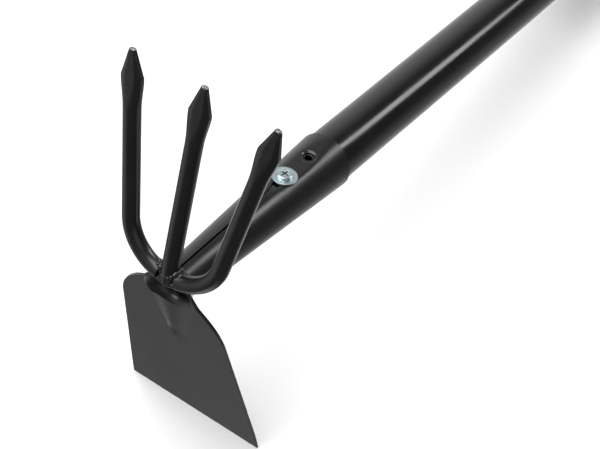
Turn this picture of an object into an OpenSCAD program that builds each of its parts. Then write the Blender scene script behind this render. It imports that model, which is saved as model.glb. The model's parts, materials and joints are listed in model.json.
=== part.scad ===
// Hand cultivator: a hoe blade and a three-tined claw on a tube handle.
// The tool is drawn along its handle, +X from the neck to the grip, and then laid down on the ground,
// where it rests on the blade's cutting edge and on the grip, with the tines up.

/* [Handle] */
// Outside diameter of the handle tube
tube_d = 25; // [20:0.5:30]
// Wall of the handle tube
tube_wall = 1.2; // [0.8:0.1:2]
// Length of the handle tube outside the socket
tube_reach = 329; // [220:1:600]
// Length of the drawn end of the tube inside the socket
tube_entry = 52; // [46:1:70]

/* [Grip] */
// Length of the grip sleeve
grip_len = 118; // [90:1:150]
// Wall of the grip sleeve
grip_wall = 2.8; // [2:0.1:5]
// Height of the bead round each end of the sleeve
grip_bead = 1.2; // [0.6:0.1:2.5]
// Number of grooves round the sleeve
groove_count = 9; // [4:1:12]
// Width of one groove
groove_w = 4; // [2:0.5:6]
// Depth of one groove
groove_depth = 0.8; // [0.3:0.1:1.5]

/* [End cap] */
// Length of the plug inside the tube
plug_len = 18; // [10:1:30]
// Thickness of the cap's flange
flange_t = 4; // [2:0.5:8]
// Thickness of the hanging tab
tab_t = 7; // [4:0.5:10]
// Width of the hanging tab
tab_w = 19; // [14:0.5:24]
// Diameter of the hanging hole
hang_hole_d = 7; // [5:0.5:9]

/* [Socket] */
// Length of the socket from the blade's face to its mouth
socket_len = 114; // [100:1:150]
// Outside diameter of the socket at the neck
neck_d = 15.7; // [14:0.1:19]
// Wall of the socket
socket_wall = 1; // [0.8:0.1:1.6]
// Width of the open seam along the top of the socket
seam_w = 0.8; // [0.4:0.1:2]
// Distance from the socket's mouth to the fixing screw
screw_inset = 33.6; // [32:0.1:42]
// Distance between the fixing screw and the spare hole
hole_pitch = 18.2; // [15:0.1:24]
// Length of the flat pressed round the screw and the spare hole
press_len = 44; // [36:1:56]
// Depth of that flat
press_depth = 1; // [0.3:0.1:1.2]

/* [Fixing screw] */
// Diameter over the screw's thread
screw_d = 4.2; // [3:0.1:4.2]
// Length of the screw under its head
screw_len = 16; // [12:0.5:20]
// Diameter of the screw's head
head_d = 7; // [6.5:0.1:9]
// Height of the screw's head
head_h = 2; // [1.8:0.1:3.5]
// Outside diameter of the washer
washer_d = 11.6; // [9.5:0.1:13]
// Thickness of the washer
washer_t = 0.9; // [0.6:0.1:1.5]
// Diameter of the spare hole
spare_d = 5.2; // [4.4:0.1:5.5]
// Diameter of the dimple round the spare hole
dimple_d = 7.4; // [6:0.1:9]

/* [Blade] */
// Thickness of the blade's sheet
sheet_t = 1.4; // [1.2:0.1:2.5]
// Height of the blade below the handle's axis
blade_h = 106; // [80:0.5:130]
// Width of the cutting edge
edge_w = 70.2; // [56:0.2:90]
// Width of the blade at its shoulders
shoulder_w = 53.2; // [44:0.2:56]
// Depth of the shoulders below the handle's axis
shoulder_drop = 23; // [18:0.5:30]
// Radius of the rounded shoulders
shoulder_r = 34; // [30:0.5:40]
// Lean of the blade's edge towards the handle, in degrees
blade_lean = 20; // [10:0.5:30]
// Length of the pressed dart below the handle's axis
dart_len = 48; // [35:1:65]
// Depth of the dart at the neck
dart_depth = 3.5; // [2:0.1:5]
// Radius of the lip where the blade turns back into the socket
lip_r = 3.5; // [2.8:0.1:5]
// Height of the ground bevel behind the cutting edge
bevel_h = 8; // [3:0.5:10]
// Thickness left at the cutting edge
edge_t = 0.8; // [0.4:0.1:1.1]

/* [Tines] */
// Diameter of the tine rod
rod_d = 7.5; // [6:0.1:8.5]
// Height of the centre tine's tip above the handle's axis
centre_h = 102; // [80:0.5:130]
// Height of the outer tines' tips above the handle's axis
outer_h = 101; // [80:0.5:130]
// Distance between the tips of the outer tines
tip_spread = 69; // [60:0.5:84]
// Angle by which each outer tine fans out, in degrees
tine_fan = 9; // [6:0.5:12]
// Radius of the outer tines' bend, along the rod's middle
bend_r = 22; // [20:0.5:28]
// Lean of the tines towards the handle, in degrees
tine_lean = 4.5; // [0:0.5:12]
// Length of the forged spearhead
spear_len = 27; // [18:0.5:36]
// Length of the point beyond the spearhead's widest place
point_len = 12; // [8:0.5:16]
// Width of the spearhead at its widest place
spear_w = 10; // [8.5:0.1:12]
// Thickness of the spearhead at its widest place
spear_t = 4.4; // [3:0.1:6]
// Width of the blunt end of the point
point_w = 2.8; // [1.5:0.1:4]

/* [Hidden] */
$fn = 64;

paint = [0.10, 0.10, 0.11];
zinc = [0.80, 0.84, 0.87];
moulding = [0.06, 0.06, 0.06];

// Clearances that mating pieces share
taper_fit = 0.05;
sleeve_fit = 0.05;
plug_fit = 0.05;
thread_fit = 0.05;
hole_fit = 0.4;
washer_fit = 0.08;
seat_gap = 0.08;
weld_gap = 0.1;
// Thickness of a section that a spearhead is stretched between, and how far cuts run past a face
section_t = 0.02;
past = 2;
// How many degrees the bend of a tine runs into its leg, and how much thinner it is
bend_lap = 1;
bend_thinner = 0.04;
// Larger than any cut has to reach
clear_of_all = 80;

// The socket is a cone about the handle's axis that fits over the drawn end of the tube
mouth_r = tube_d / 2 + taper_fit + socket_wall;
neck_r = neck_d / 2;
cone_slope = (mouth_r - neck_r) / socket_len;
cone_lean = atan(cone_slope);
function socket_r(x) = neck_r + cone_slope * x;
function socket_bore(x) = socket_r(x) - socket_wall;
function drawn_r(x) = socket_bore(x) - taper_fit;
throat_r = socket_bore(0);

// The pressed flat is part of a large cylinder that lies across the socket
press_r = press_len * press_len / (8 * press_depth) + press_depth / 2;
press_x = socket_len - screw_inset + hole_pitch / 2;
press_rise = press_r - press_depth;
press_fn = 1440;
press_centre = [press_x - press_rise * sin(cone_lean), 0,
                socket_r(press_x) + press_rise * cos(cone_lean)];
degrees_per_mm = 180 / (PI * press_r);

// Blade outline
side_lean = atan((edge_w - shoulder_w) / 2 / (blade_h - shoulder_drop));
shoulder_centre = [shoulder_w / 2 - shoulder_r * cos(side_lean),
                   -shoulder_drop - shoulder_r * sin(side_lean)];
shoulder_steps = 16;
dart_w = throat_r + lip_r;
dart_r = (dart_w * dart_w + dart_depth * dart_depth) / (2 * dart_depth);
dart_lean = atan((dart_r - dart_depth) / dart_len);
dart_fn = 128;
lip_steps = 10;

// Tines: the outer rods end against the centre rod, right above the neck's open mouth
tine_x = 0;
mouth_top = 4.5;
root_u = rod_d / 2 + weld_gap;
root_v = mouth_top + rod_d / 2 + weld_gap;
// The centre rod ends just under the middle of the outer rods, in a pool of weld
foot_v = root_v - rod_d / 6;
fan_dir = [sin(tine_fan), cos(tine_fan)];
fan_in = [-cos(tine_fan), sin(tine_fan)];
outer_tip = [tip_spread / 2, outer_h];
root_to_turn = outer_tip + bend_r * fan_in - [root_u, root_v];
along_fan = root_to_turn * fan_dir;
leg_len = along_fan - sqrt(along_fan * along_fan - root_to_turn * root_to_turn + bend_r * bend_r);
leg_foot = outer_tip - leg_len * fan_dir;
turn = leg_foot + bend_r * fan_in;
// Each outer rod is cut off where the inside of its bend meets the centre rod
root_angle = -acos((root_u - turn[0]) / (bend_r - rod_d / 2));
shoulder_top_angle = asin((mouth_top - shoulder_centre[1]) / shoulder_r);

// Weld beads: their radius, how far and how high they run along the rods, and how far the pool sags
bead_r = 1.5;
bead_run = 3;
bead_rise = 1.1;
bead_sag = 0.6;
bead_fn = 16;

// Screw and handle end
pilot_d = 3.4;
dimple_depth = socket_wall * 0.6;
recess_w = head_d * 0.55;
recess_t = head_d * 0.13;
recess_depth = head_h * 0.6;
tube_end = socket_len + tube_reach;
grip_r = tube_d / 2 + sleeve_fit + grip_wall;
bead_w = 5;
groove_pitch = (grip_len - 2 * bead_w) / (groove_count + 1);
bore_r = tube_d / 2 - tube_wall;
flange_r = grip_r - grip_bead;
hole_clear = 1.25;
tab_reach = flange_t + hole_clear + hang_hole_d / 2 + tab_w / 2;
plug_r = bore_r - plug_fit;
plug_lead = 1;

// The tool lies on the blade's edge and on the bead at the end of the grip
edge_x = blade_h * sin(blade_lean);
edge_drop = blade_h * cos(blade_lean);
rest_lean = atan2(edge_drop - grip_r - grip_bead, tube_end - edge_x);
rest_height = blade_h * cos(blade_lean - rest_lean);
// The front of the tool is the front of the centre rod's end
foot_front = [tine_x + foot_v * sin(tine_lean) - rod_d / 2 * cos(tine_lean),
              foot_v * cos(tine_lean) + rod_d / 2 * sin(tine_lean)];
front_x = foot_front * [cos(rest_lean), sin(rest_lean)];
far_x = (tube_end + tab_reach) * cos(rest_lean);

// Lays the whole tool on the ground, centred over the origin
module at_rest() {
    translate([-(front_x + far_x) / 2, 0, rest_height]) rotate([0, rest_lean, 0]) children();
}

// Blade frame: X is square to the blade, backwards, and Z runs up the blade
module blade_frame() {
    rotate([0, -blade_lean, 0]) children();
}

// Tine frame: X is lateral, Y runs up the tines and Z is square to their plane, backwards
module tine_frame() {
    translate([tine_x, 0, 0]) rotate([0, tine_lean, 0]) rotate([90, 0, 90]) children();
}

// Frame on the pressed flat, Z out of it; offset is measured from the flat's middle towards the neck
module seat_frame(offset) {
    translate(press_centre)
        rotate([0, offset * degrees_per_mm - cone_lean, 0])
            translate([0, 0, -press_r]) children();
}

// Turns a profile of [radius, distance along the handle] about the handle's axis
module along_handle(profile) {
    rotate([0, 90, 0]) rotate_extrude() polygon(profile);
}

// The large cylinder that presses the flat, grown for each layer under it
module press_tool(grow) {
    translate(press_centre)
        rotate([90, 0, 0])
            cylinder(r = press_r + grow, h = clear_of_all, center = true, $fn = press_fn);
}

function mirrored(points) =
    concat(points, [for (i = [len(points) - 1:-1:0]) [-points[i][0], points[i][1]]]);

// Blade outline in lateral distance and height along the blade
module blade_outline() {
    half = concat(
        [[edge_w / 2, -blade_h]],
        [for (i = [0:shoulder_steps])
            let (a = side_lean + (shoulder_top_angle - side_lean) * i / shoulder_steps)
            shoulder_centre + shoulder_r * [cos(a), sin(a)]]);
    polygon(mirrored(half));
}

module blade_plate() {
    rotate([90, 0, 90]) linear_extrude(sheet_t) blade_outline();
}

// Slender cone that hollows the dart out of the blade's face
module dart_cone() {
    translate([0, 0, -dart_len])
        rotate([0, -dart_lean, 0])
            cylinder(h = dart_len / cos(dart_lean), r1 = 0, r2 = dart_r, $fn = dart_fn);
}

module dart_back() {
    intersection() {
        translate([sheet_t, 0, 0]) dart_cone();
        translate([0, -clear_of_all / 2, -clear_of_all]) cube(clear_of_all);
    }
}

// Solid of the collar where the sheet turns back: its back side is a quarter of an ellipse
module collar() {
    collar_profile = concat(
        [[0, 0], [throat_r + lip_r, 0]],
        [for (i = [0:lip_steps])
            let (a = 90 * i / lip_steps)
            [throat_r + lip_r - (lip_r - socket_wall) * sin(a), lip_r - (lip_r - sheet_t) * cos(a)]],
        [[0, lip_r]]);
    translate([0, 0, -lip_r * tan(blade_lean)]) along_handle(collar_profile);
}

// Hollow of the neck's mouth, opening over the lip
module mouth_hollow() {
    lip_profile = concat(
        [[0, -past], [throat_r + lip_r, -past]],
        [for (i = [0:lip_steps])
            let (a = 90 * i / lip_steps)
            [throat_r + lip_r * (1 - sin(a)), lip_r * (1 - cos(a))]],
        [[0, lip_r]]);
    translate([0, 0, -lip_r * tan(blade_lean)]) along_handle(lip_profile);
}

module socket_outside() {
    difference() {
        along_handle([[0, 0], [neck_r, 0], [mouth_r, socket_len], [0, socket_len]]);
        press_tool(0);
    }
}

module socket_hollow() {
    start = -past * 2;
    end = socket_len + past;
    difference() {
        along_handle([[0, start], [socket_bore(start), start], [socket_bore(end), end], [0, end]]);
        press_tool(socket_wall);
    }
}

// Seam from the neck to the screw's hole, where the edges of the rolled sheet meet
module seam() {
    translate([-past, -seam_w / 2, 0]) cube([press_x - hole_pitch / 2 + past, seam_w, mouth_r + past]);
    seat_frame(hole_pitch / 2)
        translate([0, 0, -mouth_r + past]) cylinder(d = screw_d + 2 * hole_fit, h = mouth_r);
}

// Empty spare hole in its pressed dimple
module spare_hole() {
    seat_frame(-hole_pitch / 2) {
        translate([0, 0, -mouth_r + past]) cylinder(d = spare_d, h = mouth_r);
        translate([0, 0, -dimple_depth]) cylinder(d1 = spare_d, d2 = dimple_d, h = dimple_depth);
        cylinder(d = dimple_d, h = past);
    }
}

// Room for the rods, which lie across the top of the mouth
module tine_seat() {
    tine_frame()
        translate([-clear_of_all / 2, mouth_top, -clear_of_all / 2])
            cube([clear_of_all, clear_of_all, clear_of_all / 2 + rod_d / 2 + weld_gap]);
}

module ground_bevel() {
    translate([edge_t, 0, -blade_h])
        rotate([0, atan((sheet_t - edge_t) / bevel_h), 0])
            translate([0, -edge_w, -past]) cube([past * 3, edge_w * 2, bevel_h * 2]);
}

// Blade and socket of one sheet
module hoe_head() {
    color(paint) at_rest() difference() {
        union() {
            socket_outside();
            blade_frame() {
                blade_plate();
                collar();
                dart_back();
            }
        }
        socket_hollow();
        blade_frame() {
            mouth_hollow();
            dart_cone();
            ground_bevel();
            translate([-clear_of_all, -clear_of_all / 2, -clear_of_all / 2]) cube(clear_of_all);
        }
        seam();
        spare_hole();
        tine_seat();
    }
}

// Section of the spearhead: flat faces, with a bevel down to each edge
module spear_section(w, t) {
    half = [[w / 2, -t / 4], [w / 2, t / 4], [w / 4, t / 2]];
    linear_extrude(section_t) polygon(concat(half, [for (p = half) -p]));
}

// Forged end of a tine, growing out of the rod along Z
module spearhead() {
    wide_z = spear_len - point_len;
    hull() {
        cylinder(d = rod_d, h = section_t);
        translate([0, 0, wide_z]) spear_section(spear_w, spear_t);
    }
    hull() {
        translate([0, 0, wide_z]) spear_section(spear_w, spear_t);
        translate([0, 0, spear_len - section_t]) spear_section(point_w, spear_t / 2);
    }
}

// Straight rod with its spearhead, up the tine frame from the given place
module leg(length) {
    rotate([-90, 0, 0]) {
        cylinder(d = rod_d, h = length - spear_len);
        translate([0, 0, length - spear_len]) spearhead();
    }
}

// The bend is a hair thinner than the leg and runs into it, so that the two join on a clean edge
module bent_tine() {
    translate(turn)
        rotate([0, 0, root_angle])
            rotate_extrude(angle = -tine_fan - root_angle + bend_lap)
                translate([bend_r, 0]) circle(d = rod_d - bend_thinner);
    translate(leg_foot) rotate([0, 0, -tine_fan]) leg(leg_len);
}

module centre_tine() {
    color(paint) at_rest() tine_frame()
        translate([0, foot_v, 0]) leg(centre_h - foot_v);
}

module left_tine() {
    color(paint) at_rest() tine_frame() bent_tine();
}

module right_tine() {
    color(paint) at_rest() tine_frame() mirror([1, 0, 0]) bent_tine();
}

// One bead of weld metal along the given places
module bead(places) {
    hull() for (p = places) translate(p) sphere(bead_r, $fn = bead_fn);
}

// Beads under, behind and above the ends of the outer rods, on both sides of the neck, and the pool
// that runs from one to the other under the front of the centre rod
module weld_beads() {
    under = [root_u, mouth_top, 0];
    behind = [root_u, root_v, rod_d / 2];
    above = [root_u, root_v + rod_d / 2, 0];
    color(paint) at_rest() tine_frame() {
        for (side = [0, 1]) mirror([side, 0, 0]) {
            bead([for (i = [0:2]) under + i * [bead_run, bead_rise, 0]]);
            bead([behind - [0, bead_rise, 0], behind + [bead_run, 0, 0]]);
            bead([above - [0, 0, bead_rise], above + [bead_rise, 0, bead_rise]]);
        }
        bead([for (i = [-1:1]) [i * root_u, foot_v - (1 - abs(i)) * bead_sag, -rod_d / 4]]);
    }
}

module handle_tube() {
    start = socket_len - tube_entry;
    inlet = start - past;
    outlet = tube_end + past;
    color(paint) at_rest() difference() {
        along_handle([[0, start], [drawn_r(start), start], [tube_d / 2, socket_len],
                      [tube_d / 2, tube_end], [0, tube_end]]);
        difference() {
            along_handle([[0, inlet], [drawn_r(inlet) - tube_wall, inlet], [bore_r, socket_len],
                          [bore_r, outlet], [0, outlet]]);
            press_tool(socket_wall + taper_fit + tube_wall);
        }
        press_tool(socket_wall + taper_fit);
        seat_frame(hole_pitch / 2)
            translate([0, 0, -mouth_r + past]) cylinder(d = screw_d + 2 * thread_fit, h = mouth_r);
        seat_frame(-hole_pitch / 2)
            translate([0, 0, -mouth_r + past]) cylinder(d = pilot_d, h = mouth_r);
    }
}

// Pan-headed tapping screw: turned head with a cross recess, shank and point
module fixing_screw() {
    under_head = seat_gap + washer_t;
    dome_steps = 8;
    rim_h = head_h * 0.35;
    head_profile = concat(
        [[0, 0], [head_d / 2, 0]],
        [for (i = [0:dome_steps])
            let (a = 90 * i / dome_steps)
            [head_d / 2 * cos(a), rim_h + (head_h - rim_h) * sin(a)]]);
    color(zinc) at_rest() seat_frame(hole_pitch / 2) translate([0, 0, under_head]) {
        difference() {
            rotate_extrude() polygon(head_profile);
            for (a = [45, 135])
                rotate([0, 0, a])
                    translate([-recess_w / 2, -recess_t / 2, head_h - recess_depth])
                        cube([recess_w, recess_t, head_h]);
        }
        translate([0, 0, -screw_len + screw_d]) cylinder(d = screw_d, h = screw_len - screw_d);
        translate([0, 0, -screw_len]) cylinder(d1 = 0, d2 = screw_d, h = screw_d);
    }
}

module screw_washer() {
    color(zinc) at_rest() seat_frame(hole_pitch / 2) translate([0, 0, seat_gap]) difference() {
        cylinder(d = washer_d, h = washer_t);
        translate([0, 0, -past]) cylinder(d = screw_d + 2 * washer_fit, h = washer_t + 2 * past);
    }
}

// Sleeve with a bead round each end and a row of grooves between
module grip_sleeve() {
    start = tube_end - grip_len;
    color(moulding) at_rest() difference() {
        union() {
            along_handle([[0, start], [grip_r, start], [grip_r, tube_end], [0, tube_end]]);
            for (x = [start, tube_end - bead_w])
                along_handle([[0, x], [grip_r, x], [grip_r + grip_bead, x + grip_bead],
                              [grip_r + grip_bead, x + bead_w - grip_bead], [grip_r, x + bead_w],
                              [0, x + bead_w]]);
        }
        translate([start - past, 0, 0])
            rotate([0, 90, 0]) cylinder(r = tube_d / 2 + sleeve_fit, h = grip_len + 2 * past);
        for (i = [1:groove_count])
            translate([start + bead_w + i * groove_pitch, 0, 0])
                rotate([0, 90, 0]) rotate_extrude()
                    translate([grip_r - groove_depth, -groove_w / 2])
                        square([groove_depth + past, groove_w]);
    }
}

// Moulded plug with a flange over the tube's end and a tab to hang the tool by
module end_cap() {
    plug_x = tube_end - plug_len;
    hole_x = tube_end + tab_reach - tab_w / 2;
    color(moulding) at_rest() difference() {
        union() {
            along_handle([[0, plug_x], [plug_r - plug_lead, plug_x],
                          [plug_r, plug_x + 2 * plug_lead], [plug_r, tube_end],
                          [flange_r, tube_end], [flange_r, tube_end + flange_t / 2],
                          [flange_r - flange_t / 2, tube_end + flange_t], [0, tube_end + flange_t]]);
            rotate([90, 0, 0]) linear_extrude(tab_t, center = true) {
                translate([hole_x, 0]) circle(d = tab_w);
                translate([tube_end, -tab_w / 2]) square([hole_x - tube_end, tab_w]);
            }
        }
        translate([hole_x, 0, 0])
            rotate([90, 0, 0]) cylinder(d = hang_hole_d, h = tab_t + 2 * past, center = true);
    }
}

hoe_head();
centre_tine();
left_tine();
right_tine();
weld_beads();
handle_tube();
fixing_screw();
screw_washer();
grip_sleeve();
end_cap();
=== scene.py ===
"""Looks of a hand cultivator: a hoe blade and a three-tined claw on a painted tube handle."""

import json
import logging
import math
from dataclasses import dataclass
from enum import Enum

import bmesh
import bpy
from mathutils import Matrix, Vector


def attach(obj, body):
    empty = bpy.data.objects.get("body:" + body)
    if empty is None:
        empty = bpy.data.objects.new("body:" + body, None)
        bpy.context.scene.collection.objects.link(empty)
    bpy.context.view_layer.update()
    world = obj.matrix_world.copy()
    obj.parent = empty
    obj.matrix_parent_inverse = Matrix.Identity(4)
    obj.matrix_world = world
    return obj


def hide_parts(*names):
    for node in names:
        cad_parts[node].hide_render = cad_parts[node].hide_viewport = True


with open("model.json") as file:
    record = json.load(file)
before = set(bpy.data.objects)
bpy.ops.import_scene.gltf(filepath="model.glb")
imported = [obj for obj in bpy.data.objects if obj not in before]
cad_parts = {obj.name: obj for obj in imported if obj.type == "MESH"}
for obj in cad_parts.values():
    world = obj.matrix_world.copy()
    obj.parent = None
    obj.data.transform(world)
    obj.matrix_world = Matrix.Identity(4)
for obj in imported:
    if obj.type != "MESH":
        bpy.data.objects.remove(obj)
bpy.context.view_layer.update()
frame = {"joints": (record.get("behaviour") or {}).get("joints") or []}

MM = 0.001
LOG = logging.getLogger("hand_cultivator")


def linear(code: str) -> tuple[float, float, float, float]:
    """Turns an sRGB hex colour into linear light.

    Args:
        code: Colour such as "1A1B1C".

    Returns:
        Linear red, green, blue and an alpha of 1.
    """
    shares = [int(code[i : i + 2], 16) / 255 for i in (0, 2, 4)]
    light = [s / 12.92 if s <= 0.04045 else ((s + 0.055) / 1.055) ** 2.4 for s in shares]
    return (light[0], light[1], light[2], 1.0)


def per_metre(size_mm: float) -> float:
    """Texture scale that repeats a pattern once in size_mm on Object coordinates."""
    return 1 / (size_mm * MM)


def blend(low: float, high: float, share: float) -> float:
    """Goes from low at a share of 0 to high at 1."""
    return low + (high - low) * share


def ease(value: float, start: float, end: float) -> float:
    """Rises smoothly from 0 at start to 1 at end."""
    t = min(1.0, max(0.0, (value - start) / (end - start)))
    return t * t * (3 - 2 * t)


def even_places(start: float, end: float, count: int) -> list[float]:
    """Places at even steps from start, the last of them one step short of end."""
    return [blend(start, end, i / count) for i in range(count)]


def direction(azimuth: float, elevation: float) -> Vector:
    """Unit vector that points to an azimuth and elevation in degrees."""
    a, e = math.radians(azimuth), math.radians(elevation)
    return Vector((math.cos(a) * math.cos(e), math.sin(a) * math.cos(e), math.sin(e)))


def knots(value: float, places: list[tuple[float, float]]) -> float:
    """Reads a line drawn through the given places.

    Args:
        value: Where to read it.
        places: Pairs of where and what, in rising order.

    Returns:
        The height of the line there.
    """
    for (a, low), (b, high) in zip(places, places[1:]):
        if value <= b:
            return blend(low, high, (value - a) / (b - a))
    return places[-1][1]


def shader_node(
    tree: bpy.types.NodeTree,
    kind: str,
    inputs: dict[str | int, object] | None = None,
    **settings: object,
) -> bpy.types.Node:
    """Adds one shader node.

    Args:
        tree: Node tree that it joins.
        kind: Blender's name for the node.
        inputs: Value or output socket for each input socket.
        settings: Values of the node's own properties.

    Returns:
        The new node.
    """
    made = tree.nodes.new(kind)
    for key, value in settings.items():
        setattr(made, key, value)
    for key, value in (inputs or {}).items():
        if isinstance(value, bpy.types.NodeSocket):
            tree.links.new(value, made.inputs[key])
        else:
            made.inputs[key].default_value = value
    return made


def new_material(name: str) -> tuple[bpy.types.Material, bpy.types.NodeTree]:
    """Makes a material with an empty node tree.

    Args:
        name: Its name.

    Returns:
        The material and its tree.
    """
    made = bpy.data.materials.new(name)
    made.use_nodes = True
    made.node_tree.nodes.clear()
    return made, made.node_tree


class Body(Enum):
    """Bodies that the pieces ride on."""

    TOOL = "tool"
    WASHER = "washer"
    SCREW = "screw"


class Slot(Enum):
    """Material slots of the record."""

    BLADE = "blade_paint"
    ROD = "rod_paint"
    TUBE = "tube_paint"
    ZINC = "zinc_plate"
    GRIP = "grip_rubber"
    CAP = "cap_plastic"


class Zone(Enum):
    """Stretches of the hoe head's sheet, from the socket's mouth to the blade's outline."""

    SOCKET = 1
    NECK = 2
    FACE = 3


@dataclass(frozen=True)
class Paint:
    """Stoved black paint on steel: a dark even ground under a skin whose gloss gives the bands of light.

    The skin dries with a slight orange peel, which breaks the edges of each reflection.
    """

    name: str
    colour: str
    worn: str
    roughness: float
    spread: float
    peel_mm: float
    peel_depth_mm: float
    grit_depth_mm: float
    bare: bool = False
    cloud_mm: float = 28.0
    grit_mm: float = 0.5
    steel: str = "C9CBCC"
    steel_roughness: float = 0.32

    def material(self) -> bpy.types.Material:
        """Makes the paint, with bare steel where the piece's bare attribute is 1.

        Returns:
            The paint's material.
        """
        made, tree = new_material(self.name)
        place = shader_node(tree, "ShaderNodeTexCoord").outputs["Object"]
        # Cloudy thickness of the film, a few centimetres across
        cloud = shader_node(
            tree, "ShaderNodeTexNoise", {"Vector": place, "Scale": per_metre(self.cloud_mm), "Detail": 3.0}
        )
        tone = shader_node(
            tree,
            "ShaderNodeMix",
            {0: cloud.outputs["Fac"], 6: linear(self.colour), 7: linear(self.worn)},
            data_type="RGBA",
        )
        # The noise keeps to the middle of its range
        gloss = shader_node(
            tree,
            "ShaderNodeMapRange",
            {
                "Value": cloud.outputs["Fac"],
                "From Min": 0.3,
                "From Max": 0.7,
                "To Min": self.roughness - self.spread,
                "To Max": self.roughness + self.spread,
            },
        )
        peel = shader_node(
            tree, "ShaderNodeTexNoise", {"Vector": place, "Scale": per_metre(self.peel_mm), "Detail": 1.0}
        )
        # Dust nibs in the film; real ones are finer, drawn at 0.5 mm so that they show
        grit = shader_node(
            tree, "ShaderNodeTexNoise", {"Vector": place, "Scale": per_metre(self.grit_mm), "Detail": 2.0}
        )
        skin = shader_node(
            tree,
            "ShaderNodeBump",
            {"Height": grit.outputs["Fac"], "Strength": 1.0, "Distance": self.grit_depth_mm * MM},
        )
        skin = shader_node(
            tree,
            "ShaderNodeBump",
            {
                "Height": peel.outputs["Fac"],
                "Normal": skin.outputs["Normal"],
                "Strength": 1.0,
                "Distance": self.peel_depth_mm * MM,
            },
        )
        surface = shader_node(
            tree,
            "ShaderNodeBsdfPrincipled",
            {
                "Base Color": tone.outputs[2],
                "Roughness": gloss.outputs["Result"],
                "IOR": 1.5,
                "Normal": skin.outputs["Normal"],
            },
        )
        if self.bare:
            self._wear(tree, surface, tone.outputs[2], gloss.outputs["Result"], grit.outputs["Fac"])
        shader_node(tree, "ShaderNodeOutputMaterial", {"Surface": surface.outputs["BSDF"]})
        return made

    def _wear(
        self,
        tree: bpy.types.NodeTree,
        surface: bpy.types.Node,
        tone: bpy.types.NodeSocket,
        gloss: bpy.types.NodeSocket,
        grit: bpy.types.NodeSocket,
    ) -> None:
        """Lays ragged bare steel over the paint where the bare attribute says so.

        Args:
            tree: The paint's node tree.
            surface: Its shader.
            tone: Colour of the sound paint.
            gloss: Roughness of the sound paint.
            grit: Noise that makes the edge ragged.
        """
        bare = shader_node(tree, "ShaderNodeAttribute", attribute_name="bare")
        ragged = shader_node(
            tree, "ShaderNodeMath", {0: bare.outputs["Fac"], 1: grit}, operation="ADD"
        )
        # The paint is sound below the first sum of wear and grit, and gone above the second
        mask = shader_node(
            tree,
            "ShaderNodeMapRange",
            {"Value": ragged.outputs["Value"], "From Min": 0.95, "From Max": 1.1},
        )
        steel = shader_node(
            tree,
            "ShaderNodeMix",
            {0: mask.outputs["Result"], 6: tone, 7: linear(self.steel)},
            data_type="RGBA",
        )
        rough = shader_node(
            tree,
            "ShaderNodeMix",
            {0: mask.outputs["Result"], 2: gloss, 3: self.steel_roughness},
            data_type="FLOAT",
        )
        tree.links.new(steel.outputs[2], surface.inputs["Base Color"])
        tree.links.new(rough.outputs[0], surface.inputs["Roughness"])
        tree.links.new(mask.outputs["Result"], surface.inputs["Metallic"])


@dataclass(frozen=True)
class Zinc:
    """Bright zinc plate with a clear blue passivation: a pale cool metal with a fine spangle."""

    name: str = "zinc_plate_blue_passivated"
    colour: str = "CBD7DA"
    stained: str = "ABBDC3"
    # Colour of the painted shade in the screw's recess
    recess_shade_colour: str = "1C2022"
    roughness: float = 0.3
    spread: float = 0.08
    tint_mm: float = 2.2
    grain_mm: float = 0.35
    grain_depth_mm: float = 0.012

    def material(self) -> bpy.types.Material:
        """Makes the plate, darkened as painted shade in the screw's recess where the piece's attribute says
        so.

        Returns:
            The plate's material.
        """
        made, tree = new_material(self.name)
        place = shader_node(tree, "ShaderNodeTexCoord").outputs["Object"]
        # The passivation's tint drifts over a couple of millimetres
        cloud = shader_node(
            tree, "ShaderNodeTexNoise", {"Vector": place, "Scale": per_metre(self.tint_mm), "Detail": 3.0}
        )
        tone = shader_node(
            tree,
            "ShaderNodeMix",
            {0: cloud.outputs["Fac"], 6: linear(self.colour), 7: linear(self.stained)},
            data_type="RGBA",
        )
        # Painted shade: the colour is darkened in the screw's recess, where shade falls
        recess_shade = shader_node(tree, "ShaderNodeAttribute", attribute_name="recess_shade")
        tone = shader_node(
            tree,
            "ShaderNodeMix",
            {0: recess_shade.outputs["Fac"], 6: tone.outputs[2], 7: linear(self.recess_shade_colour)},
            data_type="RGBA",
        )
        gloss = shader_node(
            tree,
            "ShaderNodeMapRange",
            {
                "Value": cloud.outputs["Fac"],
                "To Min": self.roughness - self.spread,
                "To Max": self.roughness + self.spread,
            },
        )
        # Plated grain, drawn at 0.35 mm so that it shows
        grain = shader_node(
            tree, "ShaderNodeTexNoise", {"Vector": place, "Scale": per_metre(self.grain_mm), "Detail": 2.0}
        )
        skin = shader_node(
            tree,
            "ShaderNodeBump",
            {"Height": grain.outputs["Fac"], "Strength": 1.0, "Distance": self.grain_depth_mm * MM},
        )
        surface = shader_node(
            tree,
            "ShaderNodeBsdfPrincipled",
            {
                "Base Color": tone.outputs[2],
                "Metallic": 1.0,
                "Roughness": gloss.outputs["Result"],
                "Normal": skin.outputs["Normal"],
            },
        )
        shader_node(tree, "ShaderNodeOutputMaterial", {"Surface": surface.outputs["BSDF"]})
        return made


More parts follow.
